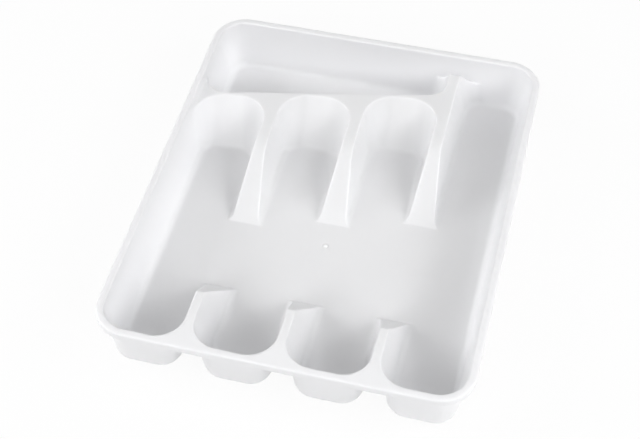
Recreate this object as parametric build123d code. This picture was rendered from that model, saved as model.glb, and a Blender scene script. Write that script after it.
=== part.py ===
from build123d import *
import math
import os

# Overall size of the moulding, in millimetres.
tray_width = 330.0
tray_length = 396.0
tray_height = 55.0
wall = 2.0

# The rim is a flat flange with a turned-down lip all round.
flange_width = 7.0
lip_depth = 8.0
rim_corner_radius = 32.0
rim_edge_radius = 1.8
pocket_edge_radius = 1.2

# How far each wall leans inwards on its way from the rim down to the floor.
side_lean = 9.0
front_lean = 3.0
rear_lean = 7.0
slot_rear_lean = 38.0
floor_edge_radius = 7.0

# Four columns run front to back, with hollow dividers between them.
column_count = 4
divider_top_width = 8.0
pocket_top_radius = 25.0
pocket_floor_radius = 16.0
slot_top_radius = 31.0
slot_least_flat = 10.0

# The front dividers reach the rim and end in a sloping back face.
front_divider_length = 96.0
front_divider_run = 44.0
middle_floor_length = 93.0

# The cross divider slants between the rear slots and the back compartment.
slant_angle = 12.0
back_compartment_depth = 61.0
cross_top_width = 4.0
back_corner_radius = 20.0

# The rear dividers stay lower than the rim and start with a ramp.
rear_divider_drop = 9.0
ramp_run = 60.0
ramp_crest_radius = 45.0

# The last divider stops short of the rear wall, with a notch behind its end.
notch_width = 16.0
notch_drop = 20.0

# The moulding gate left a small nub in a shallow ring on the middle floor.
gate_setback = 25.0
gate_ring_radius = 4.0
gate_ring_depth = 0.3
gate_nub_radius = 1.3
gate_nub_height = 0.5

# One overrun serves every cut.
overrun = 10.0

# Places and sizes worked out from those above.
inner_x = tray_width / 2 - flange_width
inner_y = tray_length / 2 - flange_width
inner_radius = rim_corner_radius - flange_width
column_width = (2 * inner_x - (column_count - 1) * divider_top_width) / column_count
pitch = column_width + divider_top_width
slot_rear_radius = min(slot_top_radius, (column_width - slot_least_flat) / 2)
slant = math.tan(math.radians(slant_angle))
cross_top_y_width = cross_top_width / math.cos(math.radians(slant_angle))
divider_xs = [(index - (column_count - 2) / 2) * pitch for index in range(column_count - 1)]
front_divider_foot_y = front_divider_length - inner_y
ramp_foot_y = front_divider_foot_y + middle_floor_length
cross_divider_y = inner_y - back_compartment_depth
rear_divider_height = tray_height - rear_divider_drop


def at_level(level, floor_value, rim_value):
    """A size that changes evenly from the floor up to the rim."""
    height_share = (level - wall) / (tray_height - wall)
    return floor_value + (rim_value - floor_value) * height_share


def cross_line(x):
    """Rear top edge of the cross divider."""
    return cross_divider_y + slant * x


def ramp_foot(x):
    """Where the ramp of a rear divider meets the floor."""
    return ramp_foot_y + slant * x


def rear_wall(level):
    return at_level(level, inner_y - rear_lean, inner_y)


def rounded_face(corners, radii, level, growth):
    face = make_face(FilletPolyline(*corners, radius=radii, close=True))
    if growth:
        face = offset(face, growth)
    return Pos(0, 0, level) * face


def well(floor_corners, rim_corners, floor_radii, rim_radii, growth):
    """The space in a compartment or, with growth, the outside of its walls."""
    sections = []
    for level in (wall - growth, tray_height if growth else tray_height + overrun):
        corners = [
            (at_level(level, floor[0], rim[0]), at_level(level, floor[1], rim[1]))
            for floor, rim in zip(floor_corners, rim_corners)
        ]
        radii = [at_level(level, floor, rim) for floor, rim in zip(floor_radii, rim_radii)]
        sections.append(rounded_face(corners, radii, level, growth))
    body = loft(sections, ruled=True)
    return fillet(body.edges().group_by(Axis.Z)[0], floor_edge_radius + growth)


def column(index, growth):
    """A front pocket, the floor behind it and the rear slot in line with it."""
    left = -inner_x + index * pitch
    right = left + column_width
    front = -inner_y
    if index < column_count - 1:
        rise = slot_rear_lean - at_level(rear_divider_height, 0, slot_rear_lean)
        rear_left = cross_line(left) - cross_top_y_width + rise
        rear_right = cross_line(right) - cross_top_y_width + rise
        floor_rear = (rear_left + rear_right) / 2 - slot_rear_lean
        rear_radius = slot_rear_radius
    else:
        rear_left = rear_right = inner_y
        floor_rear = inner_y - rear_lean
        rear_radius = pocket_top_radius
    rim_corners = [(left, front), (right, front), (right, rear_right), (left, rear_left)]
    floor_corners = [
        (left + side_lean, front + front_lean),
        (right - side_lean, front + front_lean),
        (right - side_lean, floor_rear),
        (left + side_lean, floor_rear),
    ]
    rim_radii = [pocket_top_radius, pocket_top_radius, rear_radius, rear_radius]
    floor_radii = [pocket_floor_radius for _ in rim_radii]
    return well(floor_corners, rim_corners, floor_radii, rim_radii, growth)


def back_well(growth):
    """The long compartment behind the cross divider."""
    left = -inner_x
    right = divider_xs[-1] - divider_top_width / 2
    above = side_lean - at_level(rear_divider_height, 0, side_lean)
    below = side_lean - above
    rim_corners = [
        (left, cross_line(left) - above),
        (right, cross_line(right) - above),
        (right, inner_y),
        (left, inner_y),
    ]
    floor_left = left + side_lean
    floor_right = right - side_lean
    floor_corners = [
        (floor_left, cross_line(floor_left) + below),
        (floor_right, cross_line(floor_right) + below),
        (floor_right, inner_y - rear_lean),
        (floor_left, inner_y - rear_lean),
    ]
    rim_radii = [back_corner_radius, back_corner_radius, back_corner_radius, inner_radius]
    floor_radii = [radius - side_lean for radius in rim_radii]
    return well(floor_corners, rim_corners, floor_radii, rim_radii, growth)


def upper_room(growth):
    """The open room over the rear dividers, under the level of the rim."""
    sections = []
    for level in (rear_divider_height - growth, tray_height if growth else tray_height + overrun):
        x = at_level(level, inner_x - side_lean, inner_x)
        y = rear_wall(level)
        corners = [(-x, 0), (x, 0), (x, y), (-x, y)]
        radii = [inner_radius, inner_radius, 2 * inner_radius, 2 * inner_radius]
        sections.append(rounded_face(corners, radii, level, growth))
    return loft(sections, ruled=True)


def divider_gap(index, growth):
    """The space between a front divider and the rear divider in line with it."""
    x = divider_xs[index]
    foot = ramp_foot(x)
    crest = foot + ramp_run
    high = tray_height + overrun
    corners = [
        (front_divider_foot_y, wall),
        (foot, wall),
        (crest, rear_divider_height),
        (crest + ramp_crest_radius, rear_divider_height),
        (crest + ramp_crest_radius, high),
        (at_level(high, front_divider_foot_y, front_divider_foot_y - front_divider_run), high),
    ]
    radii = [0, 0, ramp_crest_radius, 0, 0, 0]
    face = make_face(Plane.YZ * FilletPolyline(*corners, radius=radii, close=True))
    if growth:
        face = offset(face, growth, kind=Kind.INTERSECTION)
    reach = divider_top_width / 2 + side_lean + floor_edge_radius + growth
    return Pos(x, 0, 0) * extrude(face, reach, both=True)


def divider_notch(growth):
    """The notch between the end of the last divider and the rear wall, with a sloping floor."""
    front = inner_y - notch_width
    low = rear_divider_height - notch_drop
    high = tray_height + overrun
    corners = [
        (front, high),
        (front, rear_divider_height),
        (rear_wall(low), low),
        (rear_wall(high), high),
    ]
    face = make_face(Plane.YZ * Polyline(*corners, close=True))
    if growth:
        face = offset(face, growth, kind=Kind.INTERSECTION)
    reach = divider_top_width / 2 + pocket_top_radius + growth
    return Pos(divider_xs[-1], 0, 0) * extrude(face, reach, both=True)


def room(growth):
    """All the open space in the tray or, with growth, the outside of its walls."""
    body = upper_room(growth) + back_well(growth) + divider_notch(growth)
    for index in range(column_count):
        body += column(index, growth)
    for index in range(column_count - 1):
        body += divider_gap(index, growth)
    return body


def rim_face(inset):
    width = tray_width - 2 * inset
    length = tray_length - 2 * inset
    return RectangleRounded(width, length, rim_corner_radius - inset)


def deck():
    """Flange, lip and the flat land between the pockets, before the wells are cut."""
    plate = Pos(0, 0, tray_height - wall) * extrude(rim_face(0), wall)
    band = Pos(0, 0, tray_height - lip_depth) * extrude(rim_face(0) - rim_face(wall), lip_depth)
    body = plate + band
    return fillet(body.edges().group_by(Axis.Z)[-1], rim_edge_radius)


def inside_rim(edge):
    """True for an edge of a pocket or divider, false for one of the rim's own edges."""
    box = edge.bounding_box()
    reach_x = max(box.max.X, -box.min.X)
    reach_y = max(box.max.Y, -box.min.Y)
    return reach_x < inner_x + wall and reach_y < inner_y + wall


def moulding():
    """The whole tray as it leaves the mould."""
    envelope = extrude(rim_face(0), tray_height)
    body = deck() + (room(wall) & envelope) - room(0)
    land_edges = body.edges().group_by(Axis.Z)[-1].filter_by(inside_rim)
    return fillet(land_edges, pocket_edge_radius)


def gate_mark(body):
    gate_y = ramp_foot_y - gate_setback
    ring = Pos(0, gate_y, wall - gate_ring_depth) * extrude(Circle(gate_ring_radius), wall)
    nub = Pos(0, gate_y, wall / 2) * extrude(Circle(gate_nub_radius), wall / 2 + gate_nub_height)
    nub = fillet(nub.edges().group_by(Axis.Z)[-1], gate_nub_height)
    return body - ring + nub


def region(corners):
    """A full-height region of the tray, used to part it into its zones."""
    face = make_face(Polyline(*corners, close=True))
    return Pos(0, 0, -overrun) * extrude(face, tray_height + 2 * overrun)


def block(x_low, x_high, y_low, y_high):
    return region([(x_low, y_low), (x_high, y_low), (x_high, y_high), (x_low, y_high)])


def behind_cross_divider():
    """The region behind the middle of the cross divider's top, left of the last divider."""
    left = -tray_width
    right = divider_xs[-1]
    middle = cross_top_y_width / 2
    front_left = (left, cross_line(left) - middle)
    front_right = (right, cross_line(right) - middle)
    return region([front_left, front_right, (right, tray_length), (left, tray_length)])


def zones():
    """The moulding parted into its rim, pockets, floor, slots and compartments."""
    body = moulding()
    inset = flange_width - wall
    core = Pos(0, 0, -overrun) * extrude(rim_face(inset), tray_height + 2 * overrun)
    tub = body & core
    front_y = front_divider_foot_y + floor_edge_radius
    middle_y = ramp_foot(divider_xs[0]) - wall
    edges = [-tray_width, *divider_xs, tray_width]
    parts = {"rim_flange": body - core}
    for index in range(column_count):
        zone = block(edges[index], edges[index + 1], -tray_length, front_y)
        parts[f"front_pocket_{index + 1}"] = tub & zone
    parts["middle_floor"] = gate_mark(tub & block(-tray_width, tray_width, front_y, middle_y))
    rear = tub & block(-tray_width, tray_width, middle_y, tray_length)
    behind = behind_cross_divider()
    for index in range(column_count - 1):
        zone = block(edges[index], edges[index + 1], middle_y, tray_length)
        parts[f"rear_slot_{index + 1}"] = (rear & zone) - behind
    parts["back_compartment"] = rear & behind
    parts["side_compartment"] = rear & block(edges[-2], edges[-1], middle_y, tray_length)
    return parts


if __name__ == "__main__":
    os.makedirs("parts", exist_ok=True)
    for name, shape in zones().items():
        export_step(shape, f"parts/{name}.step")
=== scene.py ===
import math
import bpy
import bmesh
import numpy as np
from mathutils import Matrix, Vector


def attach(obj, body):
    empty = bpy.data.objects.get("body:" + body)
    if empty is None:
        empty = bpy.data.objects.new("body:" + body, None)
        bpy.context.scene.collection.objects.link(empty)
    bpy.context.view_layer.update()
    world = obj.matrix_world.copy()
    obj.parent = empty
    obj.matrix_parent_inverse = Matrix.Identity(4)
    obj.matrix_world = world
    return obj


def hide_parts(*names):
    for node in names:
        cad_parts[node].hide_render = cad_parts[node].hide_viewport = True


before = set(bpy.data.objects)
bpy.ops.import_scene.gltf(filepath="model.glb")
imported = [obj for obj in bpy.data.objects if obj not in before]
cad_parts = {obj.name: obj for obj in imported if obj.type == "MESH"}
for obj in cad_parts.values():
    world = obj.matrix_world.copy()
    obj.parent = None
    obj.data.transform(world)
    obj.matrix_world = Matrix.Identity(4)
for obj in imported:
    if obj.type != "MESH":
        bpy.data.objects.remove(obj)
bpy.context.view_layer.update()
print("frame loaded:", len(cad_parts), "zones of the moulding")


# Ways of making that every piece shares

def newPiece(name, bm):
    mesh = bpy.data.meshes.new(name)
    bm.to_mesh(mesh)
    bm.free()
    piece = bpy.data.objects.new(name, mesh)
    bpy.context.scene.collection.objects.link(piece)
    return piece


def addModifier(piece, kind, **settings):
    modifier = piece.modifiers.new(kind.lower(), kind)
    for key, value in settings.items():
        setattr(modifier, key, value)


def applyModifiers(piece):
    graph = bpy.context.evaluated_depsgraph_get()
    graph.update()
    finished = bpy.data.meshes.new_from_object(piece.evaluated_get(graph))
    finished.name = piece.name
    piece.modifiers.clear()
    piece.data = finished


def dropPiece(piece):
    mesh = piece.data
    bpy.data.objects.remove(piece)
    bpy.data.meshes.remove(mesh)


# Gate mark: the shallow dimple and the small dome that the mould's gate left on the middle floor

gateMark = {
    "place": (0.0, -0.027),
    "floorTop": 0.002,
    "dimpleRadius": 0.0044,
    "dimpleDepth": 0.0006,
    "slopeRun": 0.0018,       # width of the dimple's sloping side
    "brinkRun": 0.0006,       # width of its outermost, steeper part
    "brinkFoot": 0.0002,      # how high above the bottom the steeper part starts
    "domeRadius": 0.0023,
    "domeHeight": 0.0014,     # above the bottom of the dimple
    "domeTurn": 15,           # degrees of curve between two rings of the dome
    "root": 0.0006,           # how deep the dome is rooted in the floor
    "steps": 40,              # sides of each ring
    "poleWeld": 0.000001,     # points on the axis closer than this are one point
}


def latheSolid(name, profile):
    bm = bmesh.new()
    points = [bm.verts.new((radius, 0, height)) for radius, height in profile]
    edges = [bm.edges.new(pair) for pair in zip(points, points[1:])]
    bmesh.ops.spin(
        bm, geom=points + edges, cent=(0, 0, 0), axis=(0, 0, 1), angle=math.tau,
        steps=gateMark["steps"], use_merge=True,
    )
    bmesh.ops.remove_doubles(bm, verts=bm.verts, dist=gateMark["poleWeld"])
    bmesh.ops.recalc_face_normals(bm, faces=bm.faces)
    bmesh.ops.translate(bm, verts=bm.verts, vec=(*gateMark["place"], 0))
    return newPiece(name, bm)


def makeDimple():
    # The cutter: its underside is the dimple's shape, and it stands as far above the floor as it goes in
    bottom = gateMark["floorTop"] - gateMark["dimpleDepth"]
    top = gateMark["floorTop"] + gateMark["dimpleDepth"]
    radius = gateMark["dimpleRadius"]
    brink = gateMark["brinkRun"]
    return latheSolid("dimple", [
        (0, bottom),
        (radius - gateMark["slopeRun"], bottom),
        (radius - brink, bottom + gateMark["brinkFoot"]),
        (radius, gateMark["floorTop"]),
        (radius + brink, top),
        (0, top),
    ])


def makeDome():
    bottom = gateMark["floorTop"] - gateMark["dimpleDepth"]
    radius = gateMark["domeRadius"]
    height = gateMark["domeHeight"]
    turns = [math.radians(angle) for angle in range(90, -1, -gateMark["domeTurn"])]
    profile = [(radius * math.cos(turn), bottom + height * math.sin(turn)) for turn in turns]
    profile += [(radius, bottom - gateMark["root"]), (0, bottom - gateMark["root"])]
    return latheSolid("dome", profile)


def cutGateMark(tray):
    dimple, dome = makeDimple(), makeDome()
    addModifier(tray, "BOOLEAN", operation="DIFFERENCE", object=dimple, solver="MANIFOLD")
    addModifier(tray, "BOOLEAN", operation="UNION", object=dome, solver="MANIFOLD")
    applyModifiers(tray)
    dropPiece(dimple)
    dropPiece(dome)


# The moulding: one skin over all its zones, with every edge softened as in a mould

moulding = {
    "name": "trayMoulding",
    "weld": 0.000002,         # points of neighbouring zones closer than this are one point
    "grain": 0.0008,          # size of the cells that the skin is rebuilt from
    "softenSteps": 8,         # each step rounds the edges a little more
    "softenShare": 0.5,
    "flatness": 0.05,         # degrees between faces that still count as one flat
    "triangles": 180000,
    "sliver": 0.000005,       # edges shorter than this are closed up after the gate mark is cut
}


def joinedZones(name):
    bm = bmesh.new()
    for node in sorted(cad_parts):
        bm.from_mesh(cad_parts[node].data)
    bmesh.ops.remove_doubles(bm, verts=bm.verts, dist=moulding["weld"])
    # The zones' own gate mark is pressed flat, so that the larger one can be cut in its place
    reach = gateMark["dimpleRadius"] + moulding["grain"]
    for point in bm.verts:
        aside = Vector(gateMark["place"]) - point.co.xy
        if aside.length < reach and point.co.z > gateMark["floorTop"] / 2:
            point.co.z = gateMark["floorTop"]
    return newPiece(name, bm)


def flatPoints(mesh):
    # A point is on a flat where the faces around it all point the same way
    normals = np.zeros(len(mesh.polygons) * 3)
    mesh.polygons.foreach_get("normal", normals)
    corners = np.zeros(len(mesh.loops), int)
    mesh.loops.foreach_get("vertex_index", corners)
    sizes = np.zeros(len(mesh.polygons), int)
    mesh.polygons.foreach_get("loop_total", sizes)
    around = np.repeat(normals.reshape(-1, 3), sizes, axis=0)
    total = np.zeros((len(mesh.vertices), 3))
    np.add.at(total, corners, around)
    agreement = np.linalg.norm(total, axis=1) / np.bincount(corners, minlength=len(total))
    return agreement > math.cos(math.radians(moulding["flatness"]))


def protectFlatBorders(piece):
    # Points where a flat meets a curve keep their places when the skin is thinned
    flat = flatPoints(piece.data)
    ends = np.zeros(len(piece.data.edges) * 2, int)
    piece.data.edges.foreach_get("vertices", ends)
    first, second = ends.reshape(-1, 2).T
    border = np.zeros(len(flat), bool)
    border[first[flat[first] & ~flat[second]]] = True
    border[second[flat[second] & ~flat[first]]] = True
    group = piece.vertex_groups.new(name="thinned")
    group.add(np.flatnonzero(~border).tolist(), 1, "REPLACE")
    return group.name


def closeSeams(piece):
    # Takes out the slivers that the gate mark's cut leaves, and makes every face a triangle
    bm = bmesh.new()
    bm.from_mesh(piece.data)
    bmesh.ops.dissolve_degenerate(bm, edges=bm.edges, dist=moulding["sliver"])
    bmesh.ops.triangulate(bm, faces=bm.faces)
    bm.to_mesh(piece.data)
    bm.free()


def makeMoulding():
    source = joinedZones("zones")
    piece = joinedZones(moulding["name"])
    addModifier(piece, "REMESH", mode="VOXEL", voxel_size=moulding["grain"], use_smooth_shade=True)
    addModifier(piece, "SHRINKWRAP", target=source, wrap_method="NEAREST_SURFACEPOINT")
    addModifier(piece, "SMOOTH", factor=moulding["softenShare"], iterations=moulding["softenSteps"])
    applyModifiers(piece)
    dropPiece(source)
    print("rebuilt skin:", len(piece.data.polygons), "faces")
    trianglesNow = 2 * len(piece.data.polygons)
    share = moulding["triangles"] / trianglesNow
    border = protectFlatBorders(piece)
    addModifier(piece, "DECIMATE", ratio=share, vertex_group=border, use_collapse_triangulate=True)
    applyModifiers(piece)
    piece.vertex_groups.clear()
    print("thinned skin:", len(piece.data.polygons), "faces")
    cutGateMark(piece)
    closeSeams(piece)
    piece.data.shade_smooth()
    addModifier(piece, "WEIGHTED_NORMAL")
    applyModifiers(piece)
    return piece


tray = makeMoulding()
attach(tray, "root")
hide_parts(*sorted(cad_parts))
print("moulding made:", len(tray.data.polygons), "faces")


# Shader nodes

class Wire:
    # A socket of one node tree: a sum, difference or product of wires and numbers adds Math nodes

    def __init__(self, tree, socket=None):
        self.tree = tree
        self.socket = socket

    def add(self, kind, settings=None, sockets=None, output=0):
        node = self.tree.nodes.new("ShaderNode" + kind)
        for key, value in (settings or {}).items():
            setattr(node, key, value)
        for key, value in (sockets or {}).items():
            if isinstance(value, Wire):
                self.tree.links.new(value.socket, node.inputs[key])
            else:
                node.inputs[key].default_value = value
        return Wire(self.tree, node.outputs[output] if node.outputs else None)

    def maths(self, operation, first, second):
        return self.add("Math", {"operation": operation}, {0: first, 1: second})

    def __add__(self, other):
        return self.maths("ADD", self, other)

    def __radd__(self, other):
        return self.maths("ADD", other, self)

    def __sub__(self, other):
        return self.maths("SUBTRACT", self, other)

    def __rsub__(self, other):
        return self.maths("SUBTRACT", other, self)

    def __mul__(self, other):
        return self.maths("MULTIPLY", self, other)

    def __rmul__(self, other):
        return self.maths("MULTIPLY", other, self)


def startNodes(owner):
    owner.use_nodes = True
    owner.node_tree.nodes.clear()
    return Wire(owner.node_tree)


# Plastic: white polypropylene, satin from the mould, with faint flow lines that spread from the gate

plastic = {
    "thinColour": (0.855, 0.857, 0.872, 1),
    "fullColour": (0.880, 0.880, 0.893, 1),
    "hazeSize": 0.06,         # how wide the cloudy variation in the plastic is
    "hazeDetail": 3.0,
    "hazeMiddle": 0.5,        # the value that the haze swings round
    "roughness": 0.36,
    "roughnessSwing": 0.08,
    "blushReach": 0.018,      # the duller patch round the gate
    "blushRoughness": 0.07,
    "flowSpacing": 0.011,
    "flowWander": 9.0,        # how far the haze bends the flow lines
    "flowRoughness": 0.015,
    "grainSize": 0.0009,      # the fine grain of the mould
    "grainDetail": 2.0,
    "grainDepth": 0.00003,
    "grainStrength": 0.25,
    "refraction": 1.49,
    "glow": 1.0,
    "glowDepth": 0.003,       # how far light spreads inside the plastic
}


def cloudyColour(wire, haze):
    return wire.add(
        "Mix", {"data_type": "RGBA"},
        {"Factor": haze, "A": plastic["thinColour"], "B": plastic["fullColour"]}, "Result",
    )


def flowRoughness(wire, place, haze):
    # Flow lines ring the gate and wander with the haze, and a duller blush lies round the gate itself
    gate = (*gateMark["place"], gateMark["floorTop"])
    toGate = wire.add("VectorMath", {"operation": "DISTANCE"}, {0: place, 1: gate}, "Value")
    phase = toGate * (math.tau / plastic["flowSpacing"]) + haze * plastic["flowWander"]
    flow = wire.add("Math", {"operation": "SINE"}, {0: phase})
    blush = wire.add(
        "MapRange", {"interpolation_type": "SMOOTHSTEP"},
        {"Value": toGate, "From Min": 0.0, "From Max": plastic["blushReach"], "To Min": 1.0, "To Max": 0.0},
    )
    swing = (haze - plastic["hazeMiddle"]) * plastic["roughnessSwing"] + flow * plastic["flowRoughness"]
    return plastic["roughness"] + swing + blush * plastic["blushRoughness"]


def cloud(wire, place, size, detail):
    return wire.add("TexNoise", sockets={"Vector": place, "Scale": 1 / size, "Detail": detail})


def mouldGrain(wire, place):
    return wire.add("Bump", sockets={
        "Height": cloud(wire, place, plastic["grainSize"], plastic["grainDetail"]),
        "Strength": plastic["grainStrength"],
        "Distance": plastic["grainDepth"],
    })


def makePlastic():
    material = bpy.data.materials.new("whitePolypropylene")
    wire = startNodes(material)
    place = wire.add("TexCoord", output="Object")
    haze = cloud(wire, place, plastic["hazeSize"], plastic["hazeDetail"])
    shader = wire.add("BsdfPrincipled", sockets={
        "Base Color": cloudyColour(wire, haze),
        "Roughness": flowRoughness(wire, place, haze),
        "Normal": mouldGrain(wire, place),
        "IOR": plastic["refraction"],
        "Subsurface Weight": plastic["glow"],
        "Subsurface Radius": (1, 1, 1),
        "Subsurface Scale": plastic["glowDepth"],
    })
    wire.add("OutputMaterial", sockets={"Surface": shader})
    return material


plasticMaterial = makePlastic()
for piece in [tray, *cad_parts.values()]:
    piece.data.materials.clear()
    piece.data.materials.append(plasticMaterial)
print("plastic made")


# Floor, light and camera

studio = {
    "floorReach": 6.0,
    "floorColour": (0.9, 0.9, 0.9, 1),
    "floorRoughness": 0.9,
    "white": (1, 1, 1, 1),
    "whiteShare": 0.93,       # how much of the floor that is seen is plain white
    "plainStrength": 1.0,     # brightness of the plain white
    "domeStrength": 0.06,
    "lampDistance": 2.0,
}

# Azimuth is in degrees from straight ahead of the tray towards its right, elevation from the floor
lamps = {
    "frontLeftLamp": {"azimuth": 340, "elevation": 33, "size": 0.8, "watts": 10.0},
    "frontRightLamp": {"azimuth": 50, "elevation": 30, "size": 0.8, "watts": 10.5},
    "rightLowLamp": {"azimuth": 90, "elevation": 28, "size": 1.0, "watts": 9.9},
    "rightHighLamp": {"azimuth": 90, "elevation": 45, "size": 1.0, "watts": 7.6},
    "leftLowLamp": {"azimuth": 275, "elevation": 25, "size": 1.2, "watts": 16.5},
    "leftHighLamp": {"azimuth": 285, "elevation": 45, "size": 1.2, "watts": 4.4},
    "backLamp": {"azimuth": 180, "elevation": 30, "size": 1.2, "watts": 3.0},
    "topLamp": {"azimuth": 0, "elevation": 89.9, "size": 1.2, "watts": 5.0},
}

view = {
    "azimuth": 16.19,
    "elevation": 51.46,
    "roll": -2.145,
    "distance": 1.2317,
    "target": (-0.0123, 0.0007, 0.0033),
    "lens": 73.4,
}


def seenDirectly(wire):
    # 1 where the camera, a reflection or a view through the material meets the surface, 0 where light does
    camera = wire.add("LightPath", output="Is Camera Ray")
    glossy = wire.add("LightPath", output="Is Glossy Ray")
    through = wire.add("LightPath", output="Is Transmission Ray")
    return wire.maths("MAXIMUM", camera, wire.maths("MAXIMUM", glossy, through))


def makeFloor():
    bm = bmesh.new()
    bmesh.ops.create_grid(bm, x_segments=1, y_segments=1, size=studio["floorReach"])
    floor = newPiece("floor", bm)
    material = bpy.data.materials.new("whiteFloor")
    wire = startNodes(material)
    lit = wire.add("BsdfPrincipled", sockets={
        "Base Color": studio["floorColour"], "Roughness": studio["floorRoughness"],
    })
    plain = wire.add("Emission", sockets={"Color": studio["white"], "Strength": studio["plainStrength"]})
    share = seenDirectly(wire) * studio["whiteShare"]
    surface = wire.add("MixShader", sockets={0: share, 1: lit, 2: plain})
    wire.add("OutputMaterial", sockets={"Surface": surface})
    floor.data.materials.append(material)


def makeWorld():
    world = bpy.data.worlds.new("studio")
    wire = startNodes(world)
    dome = wire.add("Background", sockets={"Color": studio["white"], "Strength": studio["domeStrength"]})
    plain = wire.add("Background", sockets={"Color": studio["white"], "Strength": studio["plainStrength"]})
    surface = wire.add("MixShader", sockets={0: seenDirectly(wire), 1: dome, 2: plain})
    wire.add("OutputWorld", sockets={"Surface": surface})
    bpy.context.scene.world = world


def outward(azimuth, elevation):
    turn, rise = math.radians(azimuth), math.radians(elevation)
    return Vector((math.sin(turn) * math.cos(rise), -math.cos(turn) * math.cos(rise), math.sin(rise)))


def makeLamp(name, azimuth, elevation, size, watts):
    place = outward(azimuth, elevation) * studio["lampDistance"]
    light = bpy.data.lights.new(name, "AREA")
    light.size = size
    light.energy = watts
    lamp = bpy.data.objects.new(name, light)
    lamp.location = place
    lamp.rotation_euler = (-place).to_track_quat("-Z", "Y").to_euler()
    bpy.context.scene.collection.objects.link(lamp)


def makeCamera():
    turn, roll = math.radians(view["azimuth"]), math.radians(view["roll"])
    back = outward(view["azimuth"], view["elevation"])
    right = Vector((math.cos(turn), math.sin(turn), 0))
    up = back.cross(right)
    tiltedRight = math.cos(roll) * right + math.sin(roll) * up
    tiltedUp = math.cos(roll) * up - math.sin(roll) * right
    facing = Matrix((tiltedRight, tiltedUp, back)).transposed().to_4x4()
    place = Vector(view["target"]) + back * view["distance"]
    camera = bpy.data.objects.new("camera", bpy.data.cameras.new("camera"))
    camera.data.lens = view["lens"]
    camera.matrix_world = Matrix.Translation(place) @ facing
    bpy.context.scene.collection.objects.link(camera)
    bpy.context.scene.camera = camera


makeFloor()
makeWorld()
for name, lamp in lamps.items():
    makeLamp(name, **lamp)
makeCamera()
bpy.context.scene.view_settings.view_transform = "Standard"
print("studio made")
